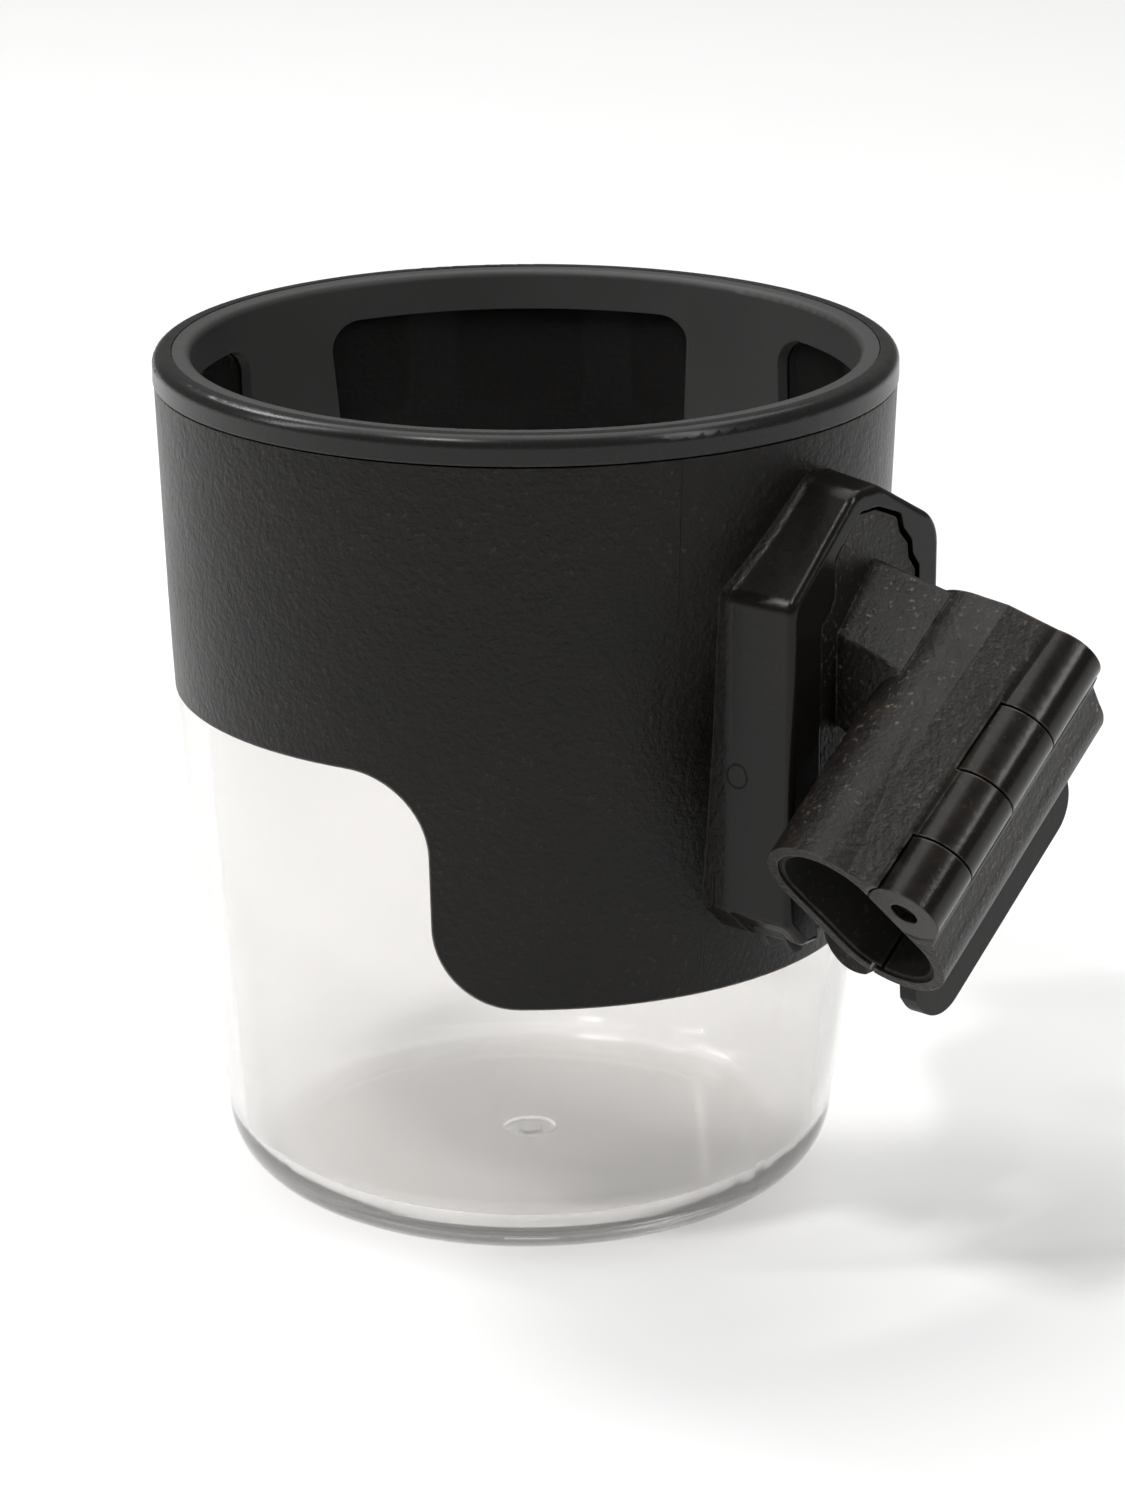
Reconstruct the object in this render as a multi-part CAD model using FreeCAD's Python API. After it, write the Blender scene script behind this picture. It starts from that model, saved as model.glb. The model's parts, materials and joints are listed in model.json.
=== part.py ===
"""Clear-bottomed cup holder that drops on to the tongue of a hinged tube clamp.

Frame: millimetres, origin at the centre of the cup's base, +Z up, +X towards the clamp.
"""
import FreeCAD, Part
import math
import os

os.makedirs("parts", exist_ok=True)
V = FreeCAD.Vector
Z_AXIS = V(0, 0, 1)

# ---- cup, sleeve and rim ---------------------------------------------------
rim_r = 47.0                 # outside of the rim ring
rim_z = 109.5                # top of the rim ring
rim_band = 3.55              # height of the ring's visible band and shoulder
rim_shoulder = 1.5
rim_bore_r = rim_r - 2.5            # seam between the hard ring and the liner's flange
sleeve_top_r = rim_r - 0.14
sleeve_top_z = rim_z - rim_band - 0.25
waist_z = rim_z - 30.75              # where the straight wall starts to curve in
waist_r = sleeve_top_r - 1.01
belly_z = waist_z - 34.75
belly_r = waist_r - 2.18
corner_z = 9.2               # top of the rounded bottom corner
corner_r = waist_r - 6.11
base_r = corner_r - 9.14                # flat part of the base
cup_wall = 2.5              # near the base
cup_upper_wall = 1.6         # behind the sleeve
cup_floor = 4.4
sleeve_wall = 1.8
skin_gap = 0.10              # sleeve to cup
edge_gap = 0.15              # sleeve's lower edge to the cup's step
edge_high = rim_z - 43.0             # sleeve's lower edge, away from the clamp
edge_low = rim_z - 73.2              # sleeve's lower edge, under the clamp
edge_turn = 64.2             # half angle of the deep lobe, degrees
edge_round = 10.5

# ---- liner ------------------------------------------------------------------
liner_lip_r = rim_r - 4.83
liner_wall = 1.0
liner_bottom = waist_z - 8.75
liner_draft = 1.4            # how much narrower the liner's bottom is
liner_flange = 1.9
window_turn = 34.5           # half angle of a window, degrees
window_top = rim_z - 5.3
window_bottom = rim_z - 33.0
window_taper = 2.6
window_round = 3.6
window_count = 4
gate_r = 3.4                 # moulding gate's dimple in the floor
gate_depth = 0.6

# ---- boss on the sleeve -----------------------------------------------------
boss_x = rim_r + 7.6                # front face
boss_half = 14.5             # half width of the front face
boss_draft = 0.6             # each side, front to root
boss_base = rim_z - 64.7
boss_chamfer_z = boss_base + 3.4
boss_shoulder = rim_z - 21.1
boss_far_shoulder = boss_shoulder + 5.0
boss_far_round = 5.0
boss_top = rim_z - 9.5
boss_top_half = 2.4
boss_edge = 1.0              # rounding of the front edge
boss_root_x = rim_r - 9.0

# ---- slide receiver and tongue ---------------------------------------------
cavity_x = boss_x - 7.3              # floor of the boss's cavity
cavity_half = boss_half - 1.4
cavity_top = boss_shoulder - 1.8
front_wall = 2.2             # boss wall in front of the cavity
mouth_near = 8.9             # slot in the boss's front
mouth_far = 10.4
play = 0.30                  # between sliding pieces
seat_gap = 0.10              # between fixed pieces
channel_wall = 1.1
channel_back = 1.5
channel_drop = 1.6           # how far the channel shows below the boss
flange_thick = 2.0
flange_top = cavity_top - 2.0
flange_bottom = boss_base + 6.2
tongue_bottom = boss_base + 1.6
screw_r = 1.25
screw_head_r = 2.5
screw_zs = (boss_base + 12.2, cavity_top - 7.6)
screw_tip_x = cavity_x - 2.9

# ---- release finger ---------------------------------------------------------
finger_half = 4.2
finger_thick = 2.2
finger_pivot_z = flange_top - 15.6
finger_front_x = boss_x - 0.6
finger_tip_z = boss_base - 4.6
finger_tip_x = boss_x + 4.0

# ---- clamp: frame at the near end of the hinge pin --------------------------
pin_x, pin_y, pin_z = boss_x + 22.4, -21.4, boss_base + 12.5
tilt = math.radians(38.0)    # slope of the tube's axis
barrel_len = 39.8
bore_r = 6.2                 # ends of the oval bore
bore_span = 10.6             # between the centres of the two ends
bore_lean = math.radians(20.0)
bore_n, bore_b = -9.3, 4.9   # centre of the bore from the pin
pad_thick = 0.7
pad_lap = 1.2                 # inner lining's lip across the split
jaw_wall = 1.4
split_top = (-3.2, -1.4)
split_low = (-12.4, 17.0)
split_gap = 0.5
knuckle_r = 4.6
knuckle_ends = (8.0, 18.0, 28.0)
knuckle_gap = 0.30
pin_r = 1.75
pin_gap = 0.05
pin_inset = 1.2

# ---- arm from the tongue to the fixed jaw: corners along and down the pin ----
arm_n = -13.0                 # where the arm meets the jaw, outwards from the pin
arm_end = barrel_len - 0.2
arm_root = [(28.4, -10.5), (arm_end, -12.4), (arm_end, -3.5), (31.0, 6.5), (21.2, -1.2)]
arm_tip = [(26.8, -8.4), (arm_end, -8.4), (arm_end, 4.0), (31.0, 7.5), (18.2, 2.5)]
arm_round = 1.2

# ---- clamp lever ------------------------------------------------------------
lever_n, lever_b = -9.5, 22.1
lever_pin_r = 1.0
lever_knuckle_r = 2.3
lever_thick = 2.4
lever_start, lever_end = 0.4, 37.1
lever_edge_b = lever_b + 6.5
lever_round = 5.2
ear_start, ear_len = 6.5, 4.0  # from each end of the lever


def wire(start, steps, place):
    """Closed wire of lines and three-point arcs, placed in space by place(u, v)."""
    edges, here = [], start
    for step in list(steps) + [start]:
        if isinstance(step[0], tuple):
            mid, end = step
            edges.append(Part.Arc(place(*here), place(*mid), place(*end)).toShape())
        else:
            end = step
            if math.dist(here, end) < 1e-7:
                continue
            edges.append(Part.makeLine(place(*here), place(*end)))
        here = end
    return Part.Wire(edges)


def rounded(corners, place):
    """Closed wire through corners (u, v, radius), each corner rounded to its radius."""
    steps = []
    count = len(corners)
    for i, (u, v, r) in enumerate(corners):
        pu, pv = corners[i - 1][:2]
        nu, nv = corners[(i + 1) % count][:2]
        if r <= 0:
            steps.append((u, v))
            continue
        lp, ln = math.hypot(pu - u, pv - v), math.hypot(nu - u, nv - v)
        ap, an = ((pu - u) / lp, (pv - v) / lp), ((nu - u) / ln, (nv - v) / ln)
        half = math.acos(max(-1, min(1, ap[0] * an[0] + ap[1] * an[1]))) / 2
        back, far = r / math.tan(half), r / math.sin(half)
        mu, mv = ap[0] + an[0], ap[1] + an[1]
        ml = math.hypot(mu, mv)
        mid = (u + mu / ml * (far - r), v + mv / ml * (far - r))
        steps.append((u + ap[0] * back, v + ap[1] * back))
        steps.append((mid, (u + an[0] * back, v + an[1] * back)))
    start = steps[0] if not isinstance(steps[0][0], tuple) else steps[0][1]
    return wire(start, steps[1:], place)


def revolve(start, steps):
    """Solid of revolution about Z from a closed (radius, height) outline."""
    face = Part.Face(wire(start, steps, lambda r, z: V(r, 0, z)))
    return face.revolve(V(0, 0, 0), Z_AXIS, 360)


def slab(outline_wire, direction):
    """Prism of a planar wire along direction."""
    return Part.Face(outline_wire).extrude(direction)


def box(x0, x1, y0, y1, z0, z1):
    """Box between two corners."""
    return Part.makeBox(x1 - x0, y1 - y0, z1 - z0, V(x0, y0, z0))


def one(shape):
    """The shape's single solid, with seams between coplanar faces removed."""
    clean = shape.removeSplitter()
    solids = sorted(clean.Solids, key=lambda s: s.Volume)
    return solids[-1] if len(solids) == 1 or solids[-2].Volume < 1e-3 else clean


# ---- cup, sleeve, rim, liner --------------------------------------------------
def skin(inset, top):
    """Body of revolution of the cup's outside, inset by a wall, closed at top."""
    r = (base_r, corner_r, belly_r, waist_r, sleeve_top_r)
    r = [x - inset for x in r]
    knee = corner_z - (corner_r - base_r) * (1 - math.sqrt(0.5))
    return revolve((0, 0), [
        (r[0], 0),
        ((r[0] + (r[1] - r[0]) * math.sqrt(0.5), corner_z - knee), (r[1], corner_z)),
        ((r[2], belly_z), (r[3], waist_z)),
        (r[4], sleeve_top_z), (r[4], top), (0, top)])


def clear_zone(margin):
    """Space below the sleeve's stepped lower edge, lowered by margin."""
    high, low = edge_high - margin, edge_low - margin
    zone = Part.makeCylinder(80, low + 10, V(0, 0, -10))
    q = edge_round * (1 - math.sqrt(0.5))
    for side in (1, -1):
        az = side * math.radians(edge_turn)
        out, along = V(math.cos(az), math.sin(az), 0), V(-math.sin(az), math.cos(az), 0) * side

        def place(w, z):
            return along * (w + margin) + out * -80 + Z_AXIS * z
        outline = wire((90, low - 5), [
            (90, high), (edge_round, high),
            ((q, high - q), (0, high - edge_round)),
            (0, low + edge_round),
            ((-q, low + q), (-edge_round, low)), (-edge_round, low - 5)], place)
        zone = zone.fuse(slab(outline, out * 160))
    return zone


def clear_cup():
    """One-piece clear cup; its outside steps in where the sleeve covers it."""
    solid = skin(0, sleeve_top_z - 0.2)
    rebate = sleeve_wall + skin_gap
    cover = skin(-5, sleeve_top_z + 5).cut(skin(rebate, sleeve_top_z + 6))
    solid = solid.cut(cover.cut(clear_zone(edge_gap)))
    inner = rebate + cup_upper_wall
    top_r = sleeve_top_r - inner
    hollow = revolve((0, cup_floor), [
        (base_r + 1.5, cup_floor),
        ((corner_r - cup_wall - 1.2, cup_floor + 1.7), (corner_r - cup_wall, corner_z)),
        ((belly_r - inner, belly_z), (waist_r - inner, waist_z)),
        (top_r, sleeve_top_z - 1.2), (top_r, sleeve_top_z + 5), (0, sleeve_top_z + 5)])
    dimple = Part.makeCylinder(gate_r, gate_depth, V(0, 0, cup_floor - gate_depth))
    stub = Part.makeCylinder(gate_r * 0.45, gate_depth * 0.7, V(0, 0, cup_floor - gate_depth))
    return one(solid.cut(hollow).cut(dimple.cut(stub)))


def boss_outline(x, half, top, base):
    """House-shaped outline of the boss at one depth."""
    rise = top - boss_shoulder
    corners = [
        (-half, boss_chamfer_z, 1.5), (-half, boss_shoulder, 2.6),
        (-boss_top_half, boss_shoulder + rise, 3.2), (boss_top_half, boss_shoulder + rise, 3.2),
        (half, boss_far_shoulder, boss_far_round), (half, boss_chamfer_z, 1.5),
        (half * 0.78, base, 1.0), (-half * 0.78, base, 1.0)]
    return rounded(corners[::-1], lambda y, z: V(x, y, z))


def mouth_outline(x, gap, z_low):
    """Stepped outline of the slot in the boss's front, shrunk by gap."""
    top = boss_top - 2.4 - gap
    far = [(mouth_far - gap, z_low, 0), (mouth_far - gap, top - 9.2, 0.8),
           (9.0 - gap, top - 7.4, 0.9), (8.8 - gap, top - 5.6, 0.9),
           (7.1 - gap, top - 3.8, 0.9), (6.5 - gap, top - 1.8, 1.2), (1.8, top, 1.2)]
    near = [(-1.6, top, 1.0), (gap - 6.4, top - 4.7, 1.4), (gap - 6.4, top - 9.6, 1.2),
            (gap - mouth_near, top - 12.4, 1.0), (gap - mouth_near, z_low, 0)]
    return rounded(far + near, lambda y, z: V(x, y, z))


def outer_sleeve():
    """Black sleeve with the boss that holds the slide receiver."""
    shell = skin(0, sleeve_top_z).cut(skin(sleeve_wall, sleeve_top_z + 1))
    root = boss_outline(boss_root_x, boss_half + boss_draft, boss_top + 1.8, boss_base)
    front = boss_outline(boss_x, boss_half, boss_top, boss_base)
    boss = Part.makeLoft([root, front], True, True)
    boss = boss.cut(slab(mouth_outline(boss_x - front_wall - 1.4, 0, 0), V(10, 0, 0)))
    slot = mouth_outline(boss_x, 0, 0)
    rim = [e for e in boss.Edges if all(abs(v.Point.x - boss_x) < 1e-4 for v in e.Vertexes)
           and slot.distToShape(Part.Vertex(e.CenterOfMass))[0] > 0.6]
    boss = boss.makeFillet(boss_edge, rim)
    boss = boss.cut(box(cavity_x, boss_x - front_wall, -cavity_half, cavity_half, 0, cavity_top))
    boss = boss.cut(skin(sleeve_wall, sleeve_top_z + 1))
    shell = shell.cut(clear_zone(0)).fuse(boss)
    for z in screw_zs:
        hole = Part.makeCylinder(screw_r + 0.02, 6, V(screw_tip_x - 0.4, 0, z), V(1, 0, 0))
        shell = shell.cut(hole)
    return one(shell)


def rim_ring():
    """Hard ring on the sleeve's top edge, with a ledge under the liner's flange."""
    low = rim_z - rim_band
    ledge = rim_z - liner_flange - seat_gap
    q = rim_shoulder * (1 - math.sqrt(0.5))
    ring = revolve((liner_lip_r + liner_wall + 0.25, low), [
        (rim_r, low), (rim_r, rim_z - rim_shoulder),
        ((rim_r - q, rim_z - q), (rim_r - rim_shoulder, rim_z)),
        (rim_bore_r + 0.1, rim_z), (rim_bore_r + 0.1, ledge),
        (liner_lip_r + liner_wall + 0.25, ledge)])
    return ring


def grip_liner():
    """Soft liner with four windows and a flange that closes the rim."""
    top, low = rim_z - 0.1, liner_bottom
    out = liner_lip_r + liner_wall
    tube = revolve((liner_lip_r - liner_draft, low), [
        (out - liner_draft, low), (out, rim_z - liner_flange - 3),
        (out, rim_z - liner_flange), (rim_bore_r, rim_z - liner_flange),
        (rim_bore_r, top), (liner_lip_r + 0.9, top),
        ((liner_lip_r + 0.25, top - 0.3), (liner_lip_r, top - 0.9))])
    half = liner_lip_r * math.sin(math.radians(window_turn))
    for k in range(window_count):
        az = math.radians(45 + 360 / window_count * k)
        out_dir, side = V(math.cos(az), math.sin(az), 0), V(-math.sin(az), math.cos(az), 0)
        corners = [(half - window_taper, window_bottom, window_round), (half, window_top, window_round),
                   (-half, window_top, window_round), (-half + 0.8, window_bottom, window_round)]
        outline = rounded(corners, lambda w, z: out_dir * 20 + side * w + Z_AXIS * z)
        tube = tube.cut(slab(outline, out_dir * 40))
    return one(tube)


# ---- receiver, screws ---------------------------------------------------------
def receiver_channel():
    """C-shaped channel screwed into the boss; the tongue's flange slides in it."""
    x0, x1 = cavity_x + seat_gap, boss_x - front_wall - seat_gap
    half = cavity_half - seat_gap
    inner = half - channel_wall
    low = boss_base - channel_drop
    block = box(x0, x1, -half, half, low, cavity_top - seat_gap)
    gap_x = x0 + channel_back
    block = block.cut(box(gap_x, gap_x + flange_thick + 2 * play, -inner, inner, 0,
                          flange_top + play))
    block = block.cut(box(gap_x, x1 + 1, -mouth_near, mouth_far, 0, cavity_top + 1))
    corner = [(-half - 1, low - 1), (-half - 1, boss_chamfer_z), (-half + 3.2, low - 1)]
    for s in (1, -1):
        cut = wire((s * corner[0][0], corner[0][1]),
                   [(s * y, z) for y, z in corner[1:]], lambda y, z: V(x0 - 1, y, z))
        block = block.cut(slab(cut, V(12, 0, 0)))
    for z in screw_zs:
        block = block.cut(Part.makeCylinder(screw_r + 0.05, 10, V(x0 - 2, 0, z), V(1, 0, 0)))
        sink = Part.makeCone(screw_r + 0.05, screw_head_r + 0.05, channel_back,
                             V(x0, 0, z), V(1, 0, 0))
        block = block.cut(sink)
    return one(block)


def receiver_screws():
    """The two countersunk screws that hold the channel."""
    x0 = cavity_x + seat_gap
    screws = []
    for z in screw_zs:
        head = Part.makeCone(screw_r, screw_head_r, channel_back, V(x0, 0, z), V(1, 0, 0))
        shank = Part.makeCylinder(screw_r, x0 - screw_tip_x + 0.2, V(screw_tip_x, 0, z), V(1, 0, 0))
        slot = box(x0 + channel_back - 0.7, x0 + channel_back + 1, -0.4, 0.4, z - 3, z + 3)
        cross = box(x0 + channel_back - 0.7, x0 + channel_back + 1, -3, 3, z - 0.4, z + 0.4)
        screws.append(one(head.fuse(shank).cut(slot).cut(cross)))
    return Part.makeCompound(screws)


# ---- clamp --------------------------------------------------------------------
ALONG = V(0, math.cos(tilt), math.sin(tilt))
DOWN = V(0, math.sin(tilt), -math.cos(tilt))
PIN = V(pin_x, pin_y, pin_z)


def at(n, b, a=0.0):
    """Point at n outwards, b down the section and a along the pin, from the pin's near end."""
    return PIN + V(n, 0, 0) + DOWN * b + ALONG * a


def section(start, steps, a0, a1):
    """Prism along the pin from a section outline in (n, b)."""
    return slab(wire(start, steps, lambda n, b: at(n, b, a0)), ALONG * (a1 - a0))


def rod(n, b, r, a0, a1):
    """Cylinder parallel to the hinge pin."""
    return Part.makeCylinder(r, a1 - a0, at(n, b, a0), ALONG)


def oval(grow, a0, a1):
    """Oval prism round the bore, grown outwards by grow."""
    r = bore_r + grow
    dn, db = math.sin(bore_lean), math.cos(bore_lean)
    pn, pb = db * r, -dn * r
    c0 = (bore_n - dn * bore_span / 2, bore_b - db * bore_span / 2)
    c1 = (bore_n + dn * bore_span / 2, bore_b + db * bore_span / 2)
    return section((c0[0] + pn, c0[1] + pb), [
        ((c0[0] - dn * r, c0[1] - db * r), (c0[0] - pn, c0[1] - pb)),
        (c1[0] - pn, c1[1] - pb),
        ((c1[0] + dn * r, c1[1] + db * r), (c1[0] + pn, c1[1] + pb))], a0, a1)


def split_side(side, a0, a1, lap=0.0):
    """Half space on the cup's side (-1) or the outer side (+1) of the split, moved out by lap."""
    un, ub = split_low[0] - split_top[0], split_low[1] - split_top[1]
    length = math.hypot(un, ub)
    un, ub = un / length, ub / length
    pn, pb = ub * side, -un * side
    mn = split_top[0] + pn * split_gap / 2 + ub * lap
    mb = split_top[1] + pb * split_gap / 2 - un * lap
    p = (mn - un * 60, mb - ub * 60)
    q = (mn + un * 60, mb + ub * 60)
    return section(p, [q, (q[0] + pn * 60, q[1] + pb * 60), (p[0] + pn * 60, p[1] + pb * 60)],
                   a0, a1)


def knuckles(first, grow, gap):
    """Hinge knuckles; first=0 gives the near one and every second after it."""
    ends = (0.0,) + knuckle_ends + (barrel_len,)
    parts = []
    for i in range(first, len(ends) - 1, 2):
        a0 = ends[i] + (knuckle_gap / 2 if i else 0) - gap
        a1 = ends[i + 1] - (knuckle_gap / 2 if i + 2 < len(ends) else 0) + gap
        parts.append(rod(0, 0, knuckle_r + grow, a0, a1))
    return parts


def tongue():
    """Slide tongue: wide flange behind, stepped front that fills the boss's slot."""
    x0 = cavity_x + seat_gap + channel_back + play
    half = cavity_half - seat_gap - channel_wall - play
    flange = slab(rounded([(half, flange_bottom, 1.5), (half, flange_top, 1.0),
                           (-half, flange_top, 1.0), (-half, flange_bottom, 1.5)],
                          lambda y, z: V(x0, y, z)), V(flange_thick, 0, 0))
    front_x = x0 + flange_thick
    front = slab(mouth_outline(boss_x - front_wall - 0.9, 0.5, tongue_bottom), V(2.8, 0, 0))
    core = box(x0, boss_x - front_wall, 0.5 - mouth_near, mouth_far - 0.5,
               tongue_bottom, flange_top)
    body = flange.fuse([front, core, box(front_x - 0.5, boss_x - 1, -5, 5, 60, flange_top)])
    slot = box(x0 - 1, boss_x + 1, -finger_half - play, finger_half + play, 0, finger_pivot_z)
    end_r = finger_thick / 2 + play
    end = Part.makeCylinder(end_r, 2 * (finger_half + play),
                            V(finger_front_x - finger_thick / 2, -finger_half - play, finger_pivot_z),
                            V(0, 1, 0))
    return body.cut(slot).cut(end)


def neck():
    """Short arm from the tongue's upper half to the fixed jaw."""
    def outline(corners, n):
        points = [(a, b, arm_round) for a, b in corners]
        return rounded(points, lambda a, b: at(n, b, a))
    return Part.makeLoft([outline(arm_root, boss_x - 0.4 - pin_x), outline(arm_tip, arm_n)],
                         True, True)


def clamp_body():
    """Fixed half of the clamp: tongue, neck, upper jaw and its two knuckles."""
    end = barrel_len
    shell = oval(pad_thick + jaw_wall, 0, end).common(split_side(-1, -1, end + 1))
    ridge = [(-12.0, -8.3), (-10.2, -8.3)]
    near = Part.makePolygon([at(n, b, 0) for n, b in ridge + [
        (-7.2, -6.9), (-1.6, -4.5), (0, 0), (-4.2, 0.4), (-12.0, -8.3)]])
    far = Part.makePolygon([at(n, b, end) for n, b in ridge + [
        (-5.3, -7.5), (0.6, -4.6), (0, 0), (-4.2, 0.4), (-12.0, -8.3)]])
    web = Part.makeLoft([near, far], True, True)
    body = shell.fuse([web] + knuckles(1, 0, 0) + [neck(), tongue()])
    for cut in knuckles(0, play, knuckle_gap):
        body = body.cut(cut)
    body = body.cut(oval(pad_thick, -1, end + 1)).cut(rod(0, 0, pin_r + pin_gap, -1, end + 1))
    return one(body)


def ear_places():
    """Where each of the jaw's two ears starts along the pin."""
    return lever_start + ear_start, lever_end - ear_start - ear_len


def clamp_jaw():
    """Swinging half of the clamp, with the ears that carry the lever."""
    end = barrel_len
    shell = oval(pad_thick + jaw_wall, 0, end)
    belly_n = bore_n + math.sin(bore_lean) * bore_span / 2 + bore_r + pad_thick + jaw_wall
    cheek = section((0, 0), [(knuckle_r, 0), (knuckle_r - 0.7, 2.4), (belly_n + 0.5, 6.4),
                             (belly_n, 9.9), (-7.5, 9.9)], 0, end)
    body = shell.fuse(cheek).common(split_side(1, -1, end + 1))
    for cut in knuckles(1, play, knuckle_gap):
        body = body.cut(cut)
    body = body.fuse(knuckles(0, 0, 0))
    for a0 in ear_places():
        ear = rod(lever_n, lever_b, lever_knuckle_r, a0, a0 + ear_len)
        wall_b = bore_b + bore_span / 2 + bore_r
        strut = section((lever_n - lever_knuckle_r, lever_b), [
            (lever_n - lever_knuckle_r, wall_b), (lever_n + lever_knuckle_r, wall_b),
            (lever_n + lever_knuckle_r, lever_b)], a0, a0 + ear_len)
        body = body.fuse(ear).fuse(strut)
    body = body.cut(oval(pad_thick, -1, end + 1))
    body = body.cut(rod(0, 0, pin_r + pin_gap, -1, end + 1))
    return one(body.cut(rod(lever_n, lever_b, lever_pin_r + pin_gap, -1, end + 1)))


def pad(side):
    """Soft lining of one jaw."""
    end = barrel_len - 0.4
    hole = oval(0, 0, end + 1)
    ring = oval(pad_thick, 0.4, end).cut(hole)
    if side < 0:
        lip = oval(pad_thick - play, 0.4, end).cut(hole).common(split_side(-1, -1, end + 2, pad_lap))
        ring = ring.common(split_side(-1, -1, end + 2)).fuse(lip)
    else:
        ring = ring.common(split_side(1, -1, end + 2, pad_lap))
    for cut in knuckles((side + 1) // 2, play, knuckle_gap):
        ring = ring.cut(cut)
    return one(ring)


def hinge_pin():
    """Steel pin through all four knuckles."""
    return rod(0, 0, pin_r, pin_inset, barrel_len - pin_inset)


def clamp_lever():
    """Flat lever with rounded corners, hung between the jaw's ears."""
    first, last = ear_places()
    hub = rod(lever_n, lever_b, lever_knuckle_r, first + ear_len + play, last - play)
    n0 = lever_n - lever_thick / 2
    top_b = lever_b - lever_knuckle_r
    corners = [(lever_start, lever_b, 0), (lever_start + 1.5, top_b, 0.8),
               (lever_end - 1.5, top_b, 0.8), (lever_end, lever_b, 0),
               (lever_end, lever_edge_b, lever_round), (lever_start, lever_edge_b, lever_round)]
    plate = slab(rounded(corners, lambda a, b: at(n0, b, a)), V(lever_thick, 0, 0))
    toe = section((lever_n, lever_b - 1.6), [
        (lever_n - 5.4, lever_b - 1.9), (lever_n - 5.8, lever_b - 0.4),
        (lever_n, lever_b + 1.6)], first + ear_len + 2, last - 2)
    body = hub.fuse([plate, toe])
    for a0 in (first, last):
        body = body.cut(rod(lever_n, lever_b, lever_knuckle_r + play, a0 - play, a0 + ear_len + play))
    return one(body.cut(rod(lever_n, lever_b, lever_pin_r + pin_gap, first, last + ear_len)))


def lever_pin():
    """Steel pin of the lever."""
    first, last = ear_places()
    return rod(lever_n, lever_b, lever_pin_r, first + 0.3, last + ear_len - 0.3)


def release_finger():
    """Springy finger in the tongue; its tip curls outwards below the boss."""
    x1 = finger_front_x
    x0 = x1 - finger_thick
    r = finger_thick / 2
    xm, zp = x1 - r, finger_pivot_z
    bend = boss_base + 1.2
    outline = wire((x0, bend), [
        (x0, zp), ((xm, zp + r), (x1, zp)), (x1, bend),
        ((x1 + 0.8, bend - 2.6), (finger_tip_x, finger_tip_z + 2.0)),
        (finger_tip_x, finger_tip_z),
        ((x0 + 2.0, bend - 4.6), (x0, bend))], lambda x, z: V(x, -finger_half, z))
    return one(slab(outline, V(0, 2 * finger_half, 0)))


MODEL = {
    "clear_cup": clear_cup, "outer_sleeve": outer_sleeve, "rim_ring": rim_ring,
    "grip_liner": grip_liner, "receiver_channel": receiver_channel,
    "receiver_screws": receiver_screws, "clamp_body": clamp_body, "hinge_pin": hinge_pin,
    "inner_pad": lambda: pad(-1), "clamp_jaw": clamp_jaw, "outer_pad": lambda: pad(1),
    "clamp_lever": clamp_lever, "lever_pin": lever_pin, "release_finger": release_finger,
}

for name, make in MODEL.items():
    shape = make()
    shape.exportStep("parts/%s.step" % name)
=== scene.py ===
"""Looks of the clamp-on cup holder: finishes for every carried piece, a pale studio and the camera."""

import json
import logging
import math
from dataclasses import dataclass
from enum import Enum

import bmesh
import bpy
from mathutils import Matrix, Vector

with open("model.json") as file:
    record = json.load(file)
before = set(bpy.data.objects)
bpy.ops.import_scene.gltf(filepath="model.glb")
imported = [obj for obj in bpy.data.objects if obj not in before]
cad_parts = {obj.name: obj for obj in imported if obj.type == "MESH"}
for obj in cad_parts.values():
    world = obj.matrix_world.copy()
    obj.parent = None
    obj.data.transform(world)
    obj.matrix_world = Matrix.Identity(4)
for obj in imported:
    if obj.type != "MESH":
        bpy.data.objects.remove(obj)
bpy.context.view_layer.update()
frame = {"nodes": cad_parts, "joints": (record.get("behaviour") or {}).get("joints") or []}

logging.basicConfig(level=logging.INFO, format="%(message)s")
LOG = logging.getLogger("cup_holder")

Colour = tuple[float, float, float]
MM = 0.001
BROAD_SHARE = 0.035  # of the grain's scale, for the mottling
COARSE_SHARE = 0.30  # of the grain's scale, for the coarser lumps
EDGE_HIGHLIGHT_RADIUS = 0.45 * MM  # reach of the painted highlights along the edges
SOFT_RADIUS = 0.25 * MM  # rounding of the shaded edges
BEVEL_SAMPLES = 4
RIM_RADIUS = 47.0 * MM
KNUCKLE_EDGE = 4.7 * MM  # smooth out to here from the hinge's axis
KNUCKLE_FADE = 0.7 * MM
BOSS_FADE = 1.2 * MM
MARK_DEPTH = 1.2  # in the grain's own height
FLOOR_DROP = 0.1 * MM


class Zone(Enum):
    """Where on a piece the moulding is polished smooth instead of grained."""

    NONE = "none"
    BOSS = "boss"
    HINGE = "hinge"


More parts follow.
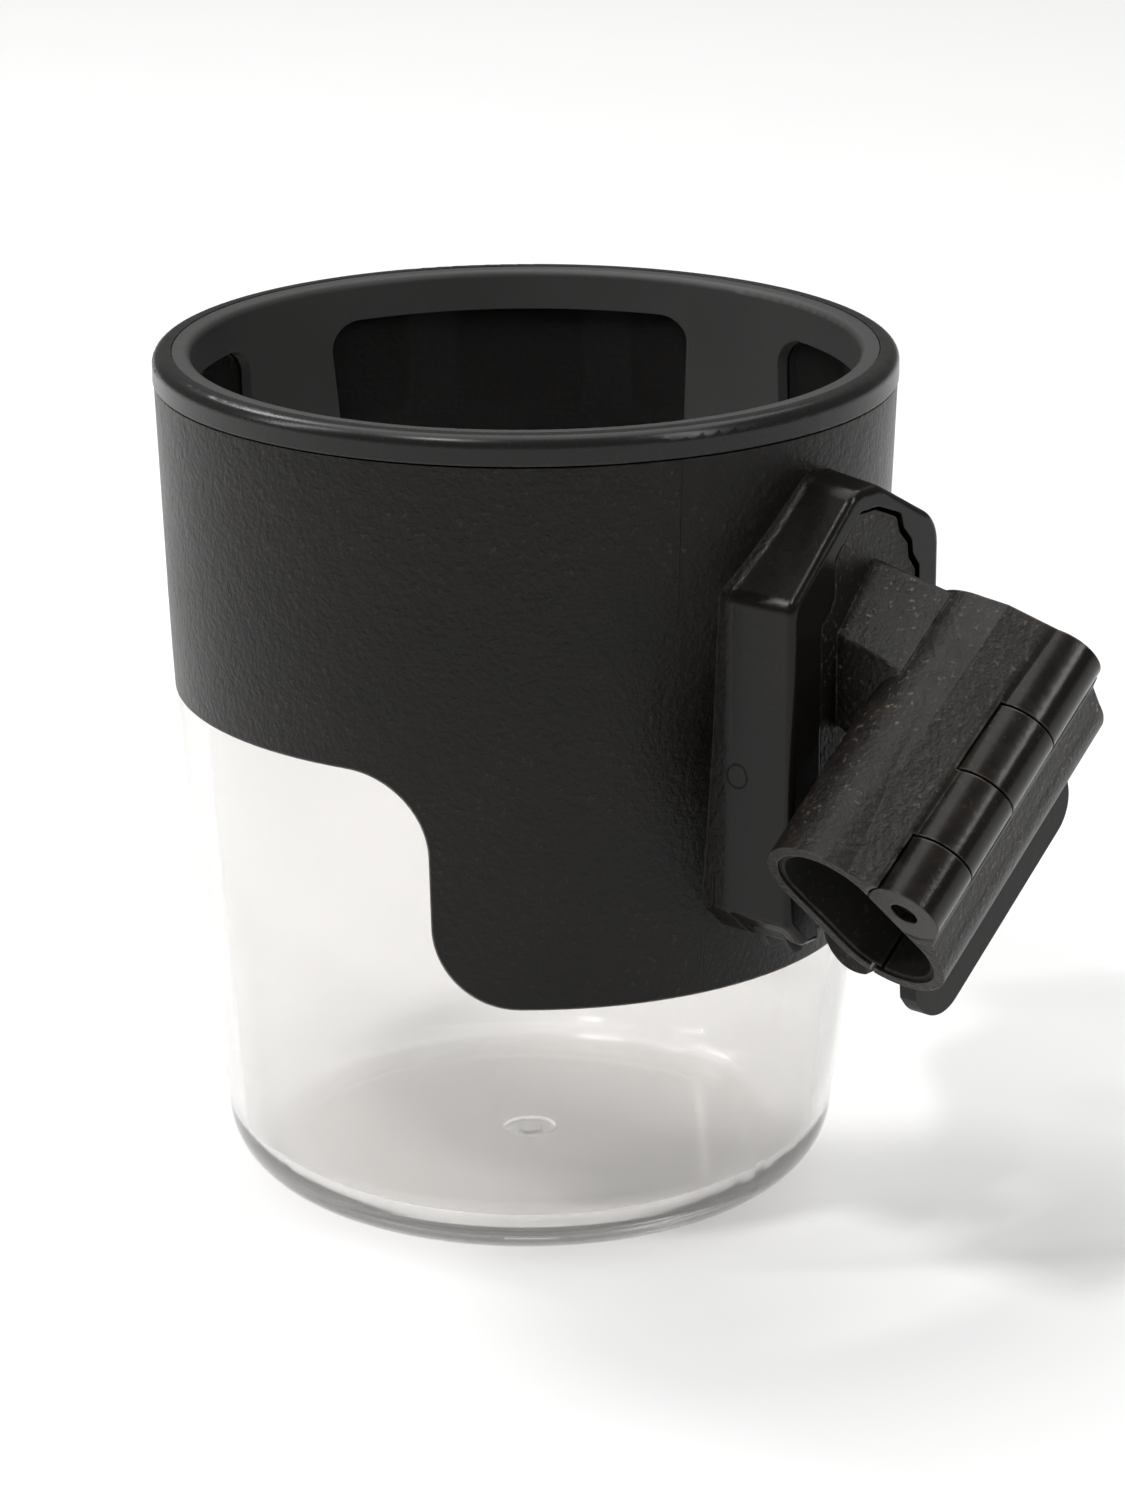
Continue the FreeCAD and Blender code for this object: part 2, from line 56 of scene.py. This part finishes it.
class Graph:
    """A node tree with short calls to add and link nodes."""

    def __init__(self, tree: bpy.types.NodeTree) -> None:
        """Wraps tree."""
        self.tree = tree
        self.column = 0

    def add(self, kind: str, **settings: object) -> bpy.types.Node:
        """Adds a node.

        Args:
            kind: the node's type, such as "ShaderNodeMath".
            settings: attributes of the node, and its unlinked inputs as in_0, in_1 and so on.

        Returns:
            The new node.
        """
        node = self.tree.nodes.new(kind)
        node.location = (self.column * 180, -(self.column % 4) * 160)
        self.column += 1
        for key, value in settings.items():
            if key.startswith("in_"):
                node.inputs[int(key[3:])].default_value = value
            else:
                setattr(node, key, value)
        return node

    def link(self, source: bpy.types.NodeSocket, target: bpy.types.NodeSocket) -> None:
        """Links source to target."""
        self.tree.links.new(source, target)

    def math(self, operation: str, a: object, b: object = None, c: object = None,
             clamp: bool = False) -> bpy.types.NodeSocket:
        """Adds a Math node.

        Args:
            operation: its operation.
            a: first operand, a socket or a number.
            b: second operand, or None.
            c: third operand, or None.
            clamp: whether the result is held within 0 and 1.

        Returns:
            The node's output socket.
        """
        node = self.add("ShaderNodeMath", operation=operation, use_clamp=clamp)
        for socket, value in zip(node.inputs, (a, b, c)):
            self.feed(socket, value)
        return node.outputs[0]

    def feed(self, socket: bpy.types.NodeSocket, value: object) -> None:
        """Gives a socket a link, a number, or nothing when value is None."""
        if isinstance(value, bpy.types.NodeSocket):
            self.link(value, socket)
        elif value is not None:
            socket.default_value = value

    def ramp(self, value: bpy.types.NodeSocket, low: float, high: float) -> bpy.types.NodeSocket:
        """Smooth 0 to 1 step of value from low to high."""
        node = self.add("ShaderNodeMapRange", interpolation_type="SMOOTHSTEP")
        self.feed(node.inputs["Value"], value)
        node.inputs["From Min"].default_value = low
        node.inputs["From Max"].default_value = high
        return node.outputs["Result"]

    def mix(self, factor: object, a: object, b: object) -> bpy.types.NodeSocket:
        """Mixes two colours by factor and returns the result."""
        node = self.add("ShaderNodeMix", data_type="RGBA")
        self.feed(node.inputs["Factor"], factor)
        for socket, value in ((node.inputs[6], a), (node.inputs[7], b)):
            self.feed(socket, (*value, 1.0) if isinstance(value, tuple) and len(value) == 3 else value)
        return node.outputs[2]

    def noise(self, scale: object, detail: float = 3.0, rough: float = 0.55) -> bpy.types.NodeSocket:
        """Noise in the object's own coordinates, in metres."""
        place = self.add("ShaderNodeTexCoord")
        node = self.add("ShaderNodeTexNoise", noise_dimensions="3D")
        self.link(place.outputs["Object"], node.inputs["Vector"])
        self.feed(node.inputs["Scale"], scale)
        node.inputs["Detail"].default_value = detail
        node.inputs["Roughness"].default_value = rough
        return node.outputs["Fac"]


class Surface:
    """Builds and keeps the shared node groups."""

    @staticmethod
    def group(name: str, inputs: dict[str, object], outputs: dict[str, str]
              ) -> tuple[bpy.types.ShaderNodeTree, Graph, bpy.types.Node, bpy.types.Node]:
        """Starts a node group.

        Args:
            name: its name.
            inputs: default value of each input; a tuple is a colour.
            outputs: socket type of each output.

        Returns:
            The group, its graph, and its input and output nodes.
        """
        tree = bpy.data.node_groups.new(name, "ShaderNodeTree")
        for key, value in inputs.items():
            kind = "NodeSocketColor" if isinstance(value, tuple) else "NodeSocketFloat"
            socket = tree.interface.new_socket(key, in_out="INPUT", socket_type=kind)
            socket.default_value = (*value, 1.0) if isinstance(value, tuple) else value
        for key, kind in outputs.items():
            tree.interface.new_socket(key, in_out="OUTPUT", socket_type=kind)
        graph = Graph(tree)
        return tree, graph, graph.add("NodeGroupInput"), graph.add("NodeGroupOutput")

    @classmethod
    def grained(cls) -> bpy.types.ShaderNodeTree:
        """Moulded, grained surface.

        Returns:
            A group giving colour, roughness and bump height: fine grain, mottling, light specks,
            painted highlights along the edges and dust on what faces up. Smooth is 1 where the mould is
            polished.
        """
        found = bpy.data.node_groups.get("grained_moulding")
        if found:
            return found
        tree, g, gin, gout = cls.group("grained_moulding", {
            "Base": (0.03, 0.03, 0.03), "Light": (0.1, 0.1, 0.1), "Grain Scale": 2200.0,
            "Specks": 0.3, "Rough Low": 0.4, "Rough High": 0.6, "Edge Highlight": 0.4, "Smooth": 0.0,
            "Dust": 0.05}, {
            "Color": "NodeSocketColor", "Roughness": "NodeSocketFloat", "Height": "NodeSocketFloat"})
        fine = g.noise(gin.outputs["Grain Scale"], 4.0, 0.62)
        broad = g.noise(g.math("MULTIPLY", gin.outputs["Grain Scale"], BROAD_SHARE), 3.0, 0.5)
        coarse = g.noise(g.math("MULTIPLY", gin.outputs["Grain Scale"], COARSE_SHARE), 2.0, 0.5)
        rest = g.math("SUBTRACT", 1.0, gin.outputs["Smooth"])
        # Painted highlight: the edges found by this Bevel node are lightened towards the Light colour.
        bevel = g.add("ShaderNodeBevel", samples=BEVEL_SAMPLES)
        bevel.inputs["Radius"].default_value = EDGE_HIGHLIGHT_RADIUS
        shape = g.add("ShaderNodeNewGeometry")
        dot = g.add("ShaderNodeVectorMath", operation="DOT_PRODUCT")
        g.link(bevel.outputs[0], dot.inputs[0])
        g.link(shape.outputs["Normal"], dot.inputs[1])
        edge_highlight = g.math("SUBTRACT", 1.0, g.ramp(dot.outputs["Value"], 0.82, 0.995))
        edge_highlight = g.math("MULTIPLY", edge_highlight, g.ramp(coarse, 0.30, 0.62))
        edge_highlight = g.math("MULTIPLY", edge_highlight, gin.outputs["Edge Highlight"], clamp=True)
        speck = g.math("MULTIPLY", g.ramp(fine, 0.58, 0.72), gin.outputs["Specks"])
        speck = g.math("MULTIPLY", speck, g.ramp(broad, 0.30, 0.72))
        speck = g.math("MULTIPLY", speck, g.math("ADD", g.math("MULTIPLY", rest, 0.85), 0.15))
        up = g.add("ShaderNodeSeparateXYZ")
        g.link(shape.outputs["Normal"], up.inputs[0])
        dust = g.math("MULTIPLY", g.ramp(up.outputs["Z"], 0.2, 1.0), g.ramp(coarse, 0.35, 0.7))
        dust = g.math("MULTIPLY", dust, gin.outputs["Dust"])
        # Lightened by specks, dust and the painted highlights along the edges.
        pale = g.math("ADD", g.math("ADD", edge_highlight, speck), dust, clamp=True)
        tone = g.mix(g.math("MULTIPLY", g.ramp(broad, 0.25, 0.75), 0.35), gin.outputs["Base"],
                     g.mix(0.12, gin.outputs["Base"], gin.outputs["Light"]))
        g.link(g.mix(pale, tone, gin.outputs["Light"]), gout.inputs["Color"])
        span = g.math("SUBTRACT", gin.outputs["Rough High"], gin.outputs["Rough Low"])
        wave = g.math("MULTIPLY", g.math("ADD", fine, broad), 0.5)
        rough = g.math("MULTIPLY_ADD", span, g.math("MULTIPLY", wave, rest), gin.outputs["Rough Low"])
        g.link(rough, gout.inputs["Roughness"])
        relief = g.math("ADD", g.math("MULTIPLY", fine, 0.6), g.math("MULTIPLY", coarse, 0.4))
        g.link(g.math("MULTIPLY", relief, g.math("ADD", g.math("MULTIPLY", rest, 0.88), 0.12)),
               gout.inputs["Height"])
        return tree

    @classmethod
    def zone(cls, zone: Zone) -> bpy.types.ShaderNodeTree:
        """Mask of the smooth part of a piece.

        Args:
            zone: which part is smooth.

        Returns:
            A group with one output, 1 inside the zone.
        """
        name = f"smooth_{zone.value}"
        found = bpy.data.node_groups.get(name)
        if found:
            return found
        tree, g, _gin, gout = cls.group(name, {}, {"Smooth": "NodeSocketFloat"})
        place = g.add("ShaderNodeTexCoord")
        if zone is Zone.BOSS:
            flat = g.add("ShaderNodeVectorMath", operation="MULTIPLY", in_1=(1, 1, 0))
            g.link(place.outputs["Object"], flat.inputs[0])
            size = g.add("ShaderNodeVectorMath", operation="LENGTH")
            g.link(flat.outputs[0], size.inputs[0])
            result = g.ramp(size.outputs["Value"], RIM_RADIUS, RIM_RADIUS + BOSS_FADE)
        else:
            pin, along = Hinge.point(), Hinge.direction()
            rel = g.add("ShaderNodeVectorMath", operation="SUBTRACT", in_1=tuple(pin))
            g.link(place.outputs["Object"], rel.inputs[0])
            cross = g.add("ShaderNodeVectorMath", operation="CROSS_PRODUCT", in_1=tuple(along))
            g.link(rel.outputs[0], cross.inputs[0])
            size = g.add("ShaderNodeVectorMath", operation="LENGTH")
            g.link(cross.outputs[0], size.inputs[0])
            outside = g.ramp(size.outputs["Value"], KNUCKLE_EDGE, KNUCKLE_EDGE + KNUCKLE_FADE)
            result = g.math("SUBTRACT", 1.0, outside)
        g.link(result, gout.inputs["Smooth"])
        return tree


@dataclass(frozen=True)
class MouldMarks:
    """Fine marks that the mould leaves on the sleeve: two witness lines and an ejector's ring."""

    line_angle: float = -25.5
    line_width: float = 0.10
    high_span: tuple[float, float] = (0.086, 0.1055)
    low_angle: float = -19.1
    low_span: tuple[float, float] = (0.0365, 0.0525)
    ring_place: tuple[float, float, float] = (0.0466, -0.0150, 0.0659)
    ring_radius: float = 0.0015

    def line(self, g: Graph, place: bpy.types.NodeSocket, angle: float,
             span: tuple[float, float]) -> bpy.types.NodeSocket:
        """Mask of one upright line on the wall.

        Args:
            g: the graph that it is added to.
            place: the object coordinates.
            angle: degrees round the cup's axis from +X.
            span: its lowest and highest point.

        Returns:
            A socket that is 1 on the line.
        """
        normal = (-math.sin(math.radians(angle)), math.cos(math.radians(angle)), 0.0)
        off = g.add("ShaderNodeVectorMath", operation="DOT_PRODUCT", in_1=normal)
        g.link(place, off.inputs[0])
        near = g.math("ABSOLUTE", off.outputs["Value"])
        on = g.math("SUBTRACT", 1.0, g.ramp(near, self.line_width * 0.5 * MM, self.line_width * MM))
        split = g.add("ShaderNodeSeparateXYZ")
        g.link(place, split.inputs[0])
        high = g.math("GREATER_THAN", split.outputs["Z"], span[0])
        low = g.math("LESS_THAN", split.outputs["Z"], span[1])
        front = g.math("GREATER_THAN", split.outputs["X"], 0.02)
        return g.math("MULTIPLY", g.math("MULTIPLY", on, front), g.math("MULTIPLY", high, low))

    def group(self) -> bpy.types.ShaderNodeTree:
        """Builds the group.

        Returns:
            A group with one output, 1 on the marks.
        """
        tree, g, _gin, gout = Surface.group("mould_marks", {}, {"Mark": "NodeSocketFloat"})
        place = g.add("ShaderNodeTexCoord").outputs["Object"]
        upper = self.line(g, place, self.line_angle, self.high_span)
        lower = self.line(g, place, self.low_angle, self.low_span)
        away = g.add("ShaderNodeVectorMath", operation="DISTANCE", in_1=self.ring_place)
        g.link(place, away.inputs[0])
        ring = g.math("ABSOLUTE", g.math("SUBTRACT", away.outputs["Value"], self.ring_radius))
        ring = g.math("SUBTRACT", 1.0, g.ramp(ring, 0.05 * MM, 0.14 * MM))
        both = g.math("MAXIMUM", upper, lower)
        g.link(g.math("MAXIMUM", both, ring), gout.inputs["Mark"])
        return tree


class Hinge:
    """Where the jaw's hinge lies, read from the record's joint."""

    @staticmethod
    def joint() -> dict:
        """The jaw hinge's entry in the record."""
        return next(j for j in frame["joints"] if j["name"] == "jaw_hinge")

    @classmethod
    def point(cls) -> Vector:
        """A point on the hinge's axis, in metres."""
        return Vector(cls.joint()["pos_m"])

    @classmethod
    def direction(cls) -> Vector:
        """The hinge's axis."""
        return Vector(cls.joint()["axis"]).normalized()


@dataclass(frozen=True)
class Moulded:
    """Finish of a moulded black plastic or rubber piece."""

    name: str
    base: Colour
    light: Colour
    grain_scale: float = 2200.0
    specks: float = 0.3
    rough: tuple[float, float] = (0.42, 0.6)
    # Strength of the painted highlights along the edges.
    edge_highlight: float = 0.35
    dust: float = 0.05
    bump: float = 0.25
    depth: float = 0.10
    specular: float = 0.5
    smooth: Zone = Zone.NONE
    marks: MouldMarks | None = None

    def material(self) -> bpy.types.Material:
        """Builds the material.

        Returns:
            A node material whose colour, roughness and bump come from the grained group.
        """
        mat = bpy.data.materials.new(self.name)
        mat.use_nodes = True
        g = Graph(mat.node_tree)
        shader = mat.node_tree.nodes["Principled BSDF"]
        grain = g.add("ShaderNodeGroup", node_tree=Surface.grained())
        for key, value in (("Base", (*self.base, 1.0)), ("Light", (*self.light, 1.0)),
                           ("Grain Scale", self.grain_scale), ("Specks", self.specks),
                           ("Rough Low", self.rough[0]), ("Rough High", self.rough[1]),
                           ("Edge Highlight", self.edge_highlight), ("Dust", self.dust)):
            grain.inputs[key].default_value = value
        if self.smooth is not Zone.NONE:
            zone = g.add("ShaderNodeGroup", node_tree=Surface.zone(self.smooth))
            g.link(zone.outputs["Smooth"], grain.inputs["Smooth"])
        bump = g.add("ShaderNodeBump")
        bump.inputs["Strength"].default_value = self.bump
        bump.inputs["Distance"].default_value = self.depth * MM
        height = grain.outputs["Height"]
        if self.marks:
            marks = g.add("ShaderNodeGroup", node_tree=self.marks.group())
            height = g.math("MULTIPLY_ADD", marks.outputs["Mark"], -MARK_DEPTH, height)
        g.link(height, bump.inputs["Height"])
        soft = g.add("ShaderNodeBevel", samples=BEVEL_SAMPLES)
        soft.inputs["Radius"].default_value = SOFT_RADIUS
        g.link(soft.outputs[0], bump.inputs["Normal"])
        g.link(bump.outputs["Normal"], shader.inputs["Normal"])
        g.link(grain.outputs["Color"], shader.inputs["Base Color"])
        g.link(grain.outputs["Roughness"], shader.inputs["Roughness"])
        shader.inputs["Specular IOR Level"].default_value = self.specular
        return mat


@dataclass(frozen=True)
class Clear:
    """Finish of the clear cup."""

    name: str
    tint: Colour
    roughness: float
    ior: float = 1.46
    transmission: float = 0.94
    shade: Colour = (0.965, 0.96, 0.955)
    # Colour of the painted shade on the cup inside the sleeve.
    painted_shade: Colour = (0.16, 0.155, 0.15)
    painted_shade_from: float = 0.0765

    def material(self) -> bpy.types.Material:
        """Builds the material.

        Returns:
            A clear plastic with faint flow marks and a slight haze, and painted shade where the liner
            covers it.
        """
        mat = bpy.data.materials.new(self.name)
        mat.use_nodes = True
        g = Graph(mat.node_tree)
        shader = mat.node_tree.nodes["Principled BSDF"]
        shader.inputs["Transmission Weight"].default_value = self.transmission
        shader.inputs["IOR"].default_value = self.ior
        flow = g.noise(28.0, 2.0, 0.4)
        fine = g.noise(900.0, 2.0, 0.5)
        deeper = tuple(c * 0.975 for c in self.tint)
        height = g.add("ShaderNodeSeparateXYZ")
        g.link(g.add("ShaderNodeTexCoord").outputs["Object"], height.inputs[0])
        # Painted shade: above this height the cup sits inside the sleeve and liner, and its colour is
        # swapped for a near-black grey.
        upper = g.ramp(height.outputs["Z"], self.painted_shade_from, self.painted_shade_from + MM)
        clear = g.mix(g.ramp(flow, 0.35, 0.7), self.tint, deeper)
        g.link(g.mix(upper, clear, self.painted_shade), shader.inputs["Base Color"])
        rough = g.math("MULTIPLY_ADD", g.ramp(fine, 0.4, 0.75), 0.03, self.roughness)
        g.link(rough, shader.inputs["Roughness"])
        bump = g.add("ShaderNodeBump")
        bump.inputs["Strength"].default_value = 0.04
        bump.inputs["Distance"].default_value = 0.3 * MM
        g.link(flow, bump.inputs["Height"])
        g.link(bump.outputs["Normal"], shader.inputs["Normal"])
        path = g.add("ShaderNodeLightPath")
        through = g.add("ShaderNodeBsdfTransparent")
        through.inputs["Color"].default_value = (*self.shade, 1.0)
        blend = g.add("ShaderNodeMixShader")
        g.link(g.math("MAXIMUM", path.outputs["Is Shadow Ray"], path.outputs["Is Diffuse Ray"]),
               blend.inputs[0])
        g.link(shader.outputs[0], blend.inputs[1])
        g.link(through.outputs[0], blend.inputs[2])
        g.link(blend.outputs[0], mat.node_tree.nodes["Material Output"].inputs["Surface"])
        return mat


@dataclass(frozen=True)
class Steel:
    """Finish of a pin or screw."""

    name: str
    base: Colour
    roughness: float = 0.32

    def material(self) -> bpy.types.Material:
        """Builds the material.

        Returns:
            Turned steel with fine scratches.
        """
        mat = bpy.data.materials.new(self.name)
        mat.use_nodes = True
        g = Graph(mat.node_tree)
        shader = mat.node_tree.nodes["Principled BSDF"]
        shader.inputs["Metallic"].default_value = 1.0
        streak = g.noise(3500.0, 4.0, 0.6)
        worn = tuple(min(1.0, c * 1.5) for c in self.base)
        g.link(g.mix(g.ramp(streak, 0.45, 0.75), self.base, worn), shader.inputs["Base Color"])
        g.link(g.math("MULTIPLY_ADD", streak, 0.2, self.roughness - 0.1), shader.inputs["Roughness"])
        bump = g.add("ShaderNodeBump")
        bump.inputs["Strength"].default_value = 0.15
        bump.inputs["Distance"].default_value = 0.02 * MM
        g.link(streak, bump.inputs["Height"])
        g.link(bump.outputs["Normal"], shader.inputs["Normal"])
        return mat


@dataclass
class CupAssembly:
    """Clear cup, sleeve with boss, rim ring, liner and slide receiver."""

    clear: Clear = Clear("clear_moulding", (0.905, 0.893, 0.884), 0.05)
    sleeve: Moulded = Moulded(
        "sleeve_grain", (0.0062, 0.0053, 0.0047), (0.060, 0.050, 0.043), 1300.0, 0.55,
        (0.19, 0.50), 0.35, 0.03, 1.0, 0.30, 0.20, smooth=Zone.BOSS, marks=MouldMarks())
    rim: Moulded = Moulded(
        "rim_satin", (0.0090, 0.0087, 0.0083), (0.080, 0.078, 0.075), 1500.0, 0.08,
        (0.22, 0.32), 0.30, 0.05, 0.08, 0.04, 0.30)
    liner: Moulded = Moulded(
        "liner_soft", (0.040, 0.0395, 0.0388), (0.110, 0.108, 0.105), 1900.0, 0.25,
        (0.42, 0.62), 0.15, 0.05, 0.35, 0.06, 0.40)
    channel: Moulded = Moulded(
        "channel_satin", (0.010, 0.010, 0.0098), (0.080, 0.080, 0.080), 1800.0, 0.10,
        (0.30, 0.45), 0.3, 0.02, 0.10, 0.04, 0.28)
    screw: Steel = Steel("screw_zinc", (0.50, 0.50, 0.52))

    def build(self) -> dict[str, bpy.types.Material]:
        """Materials of this assembly's nodes, by node name."""
        return {
            "clear_cup": self.clear.material(), "outer_sleeve": self.sleeve.material(),
            "rim_ring": self.rim.material(), "grip_liner": self.liner.material(),
            "receiver_channel": self.channel.material(), "receiver_screws": self.screw.material()}


@dataclass
class ClampAssembly:
    """Fixed and swinging jaws, linings, pins, lever and release finger."""

    nylon: Moulded = Moulded(
        "clamp_nylon", (0.0045, 0.0038, 0.0034), (0.190, 0.155, 0.128), 1250.0, 0.90,
        (0.20, 0.54), 0.40, 0.05, 1.0, 0.34, 0.24, smooth=Zone.HINGE)
    lever: Moulded = Moulded(
        "lever_grain", (0.0130, 0.0125, 0.0120), (0.080, 0.077, 0.074), 2200.0, 0.35,
        (0.38, 0.54), 0.30, 0.04, 0.60, 0.10, 0.22)
    lining: Moulded = Moulded(
        "lining_rubber", (0.008, 0.0072, 0.0066), (0.110, 0.098, 0.087), 1000.0, 0.5,
        (0.6, 0.85), 0.5, 0.10, 0.9, 0.22, 0.20)
    pin: Steel = Steel("pin_dark_steel", (0.16, 0.16, 0.165), 0.38)

    def build(self) -> dict[str, bpy.types.Material]:
        """Materials of this assembly's nodes, by node name."""
        nylon, lining, pin = self.nylon.material(), self.lining.material(), self.pin.material()
        return {
            "clamp_body": nylon, "clamp_jaw": nylon, "release_finger": nylon,
            "inner_pad": lining, "outer_pad": lining, "hinge_pin": pin, "lever_pin": pin,
            "clamp_lever": self.lever.material()}


@dataclass
class SoftBox:
    """A rectangular studio lamp aimed at the object."""

    name: str
    place: tuple[float, float, float]
    size: tuple[float, float]
    power: float
    target: tuple[float, float, float] = (0.0, 0.0, 0.06)

    def build(self) -> None:
        """Adds the lamp, turned to its target."""
        data = bpy.data.lights.new(self.name, "AREA")
        data.shape = "RECTANGLE"
        data.size, data.size_y = self.size
        data.energy = self.power
        lamp = bpy.data.objects.new(self.name, data)
        lamp.location = self.place
        aim = Vector(self.target) - Vector(self.place)
        lamp.rotation_euler = aim.to_track_quat("-Z", "Y").to_euler()
        bpy.context.scene.collection.objects.link(lamp)


@dataclass
class Studio:
    """Pale floor, soft boxes, even surroundings and the camera."""

    floor_half: float = 6.0
    floor_tone: Colour = (0.93, 0.93, 0.925)
    air: float = 0.16
    floor_roughness: float = 0.9
    floor_specular: float = 0.1
    view_azimuth: float = -48.6
    view_elevation: float = 18.753
    distance: float = 0.63204
    look_height: float = 0.050
    yaw: float = 0.401
    roll: float = -0.344
    lens: float = 116.82
    shift_up: float = 0.02697

    def around(self, azimuth: float, elevation: float, distance: float) -> tuple[float, float, float]:
        """Point seen from the camera's side.

        Args:
            azimuth: degrees to the camera's right of the camera's own direction.
            elevation: degrees above the floor.
            distance: metres from the cup's axis.

        Returns:
            The point in the row frame.
        """
        az = math.radians(self.view_azimuth + azimuth)
        el = math.radians(elevation)
        flat = distance * math.cos(el)
        return (flat * math.cos(az), flat * math.sin(az), distance * math.sin(el))

    def floor(self) -> bpy.types.Object:
        """Adds the floor.

        Returns:
            The floor.
        """
        mesh = bpy.data.meshes.new("studio_floor")
        shape = bmesh.new()
        bmesh.ops.create_grid(shape, x_segments=1, y_segments=1, size=self.floor_half)
        bmesh.ops.translate(shape, vec=(0, 0, -FLOOR_DROP), verts=shape.verts)
        shape.to_mesh(mesh)
        shape.free()
        plane = bpy.data.objects.new("studio_floor", mesh)
        bpy.context.scene.collection.objects.link(plane)
        mat = bpy.data.materials.new("floor_paper")
        mat.use_nodes = True
        g = Graph(mat.node_tree)
        shader = mat.node_tree.nodes["Principled BSDF"]
        paper = g.noise(40.0, 2.0, 0.5)
        shade = tuple(c * 0.985 for c in self.floor_tone)
        g.link(g.mix(paper, self.floor_tone, shade), shader.inputs["Base Color"])
        shader.inputs["Roughness"].default_value = self.floor_roughness
        shader.inputs["Specular IOR Level"].default_value = self.floor_specular
        mesh.materials.append(mat)
        return plane

    def surroundings(self) -> None:
        """Sets the even white surroundings."""
        world = bpy.data.worlds.new("studio_air")
        world.use_nodes = True
        back = world.node_tree.nodes["Background"]
        back.inputs["Color"].default_value = (1.0, 0.995, 0.985, 1.0)
        back.inputs["Strength"].default_value = self.air
        bpy.context.scene.world = world
        bpy.context.scene.view_settings.view_transform = "Standard"

    def camera(self) -> bpy.types.Object:
        """Adds the camera.

        Returns:
            The camera, set as the scene's camera.
        """
        az, el = math.radians(self.view_azimuth), math.radians(self.view_elevation)
        ahead_flat = Vector((-math.cos(az), -math.sin(az), 0))
        right = Vector((-math.sin(az), math.cos(az), 0))
        ahead = ahead_flat * math.cos(el) - Vector((0, 0, math.sin(el)))
        up = ahead_flat * math.sin(el) + Vector((0, 0, math.cos(el)))
        place = Vector((0, 0, self.look_height)) - ahead * self.distance
        yaw, roll = math.radians(self.yaw), math.radians(self.roll)
        ahead, right = (ahead * math.cos(yaw) + right * math.sin(yaw),
                        right * math.cos(yaw) - ahead * math.sin(yaw))
        right, up = (right * math.cos(roll) + up * math.sin(roll),
                     up * math.cos(roll) - right * math.sin(roll))
        data = bpy.data.cameras.new("studio_camera")
        data.lens, data.sensor_width, data.shift_y = self.lens, 36.0, self.shift_up
        data.clip_start, data.clip_end = 0.02, 30.0
        cam = bpy.data.objects.new("studio_camera", data)
        turn = Matrix((right, up, -ahead)).transposed()
        cam.matrix_world = Matrix.Translation(place) @ turn.to_4x4()
        bpy.context.scene.collection.objects.link(cam)
        bpy.context.scene.camera = cam
        return cam

    def build(self) -> None:
        """Builds the whole studio."""
        self.floor()
        self.surroundings()
        self.camera()
        for box in self.boxes():
            box.build()

    def boxes(self) -> list[SoftBox]:
        """The studio's soft boxes: two overhead, one each side and one behind."""
        return [
            SoftBox("over_box", self.around(180, 68, 2.8), (3.0, 3.0), 58.0, self.around(180, 0, 1.05)),
            SoftBox("top_box", self.around(-40, 62, 1.2), (0.14, 0.14), 3.8),
            SoftBox("left_box", self.around(-82, 38, 1.1), (0.05, 0.7), 3.6),
            SoftBox("right_box", self.around(58, 42, 1.1), (0.05, 0.6), 2.6),
            SoftBox("far_box", self.around(-135, 50, 1.2), (0.25, 0.12), 2.2)]


def dress(materials: dict[str, bpy.types.Material]) -> None:
    """Gives each carried node its material.

    Args:
        materials: material by node name.
    """
    for name, mat in materials.items():
        node = frame["nodes"][name]
        node.data.materials.clear()
        node.data.materials.append(mat)
        LOG.info("%s: %s, %d faces", name, mat.name, len(node.data.polygons))


def main() -> None:
    """Builds the sub-assemblies in order."""
    for assembly in (CupAssembly(), ClampAssembly()):
        dress(assembly.build())
    Studio().build()


if __name__ == "__main__":
    main()
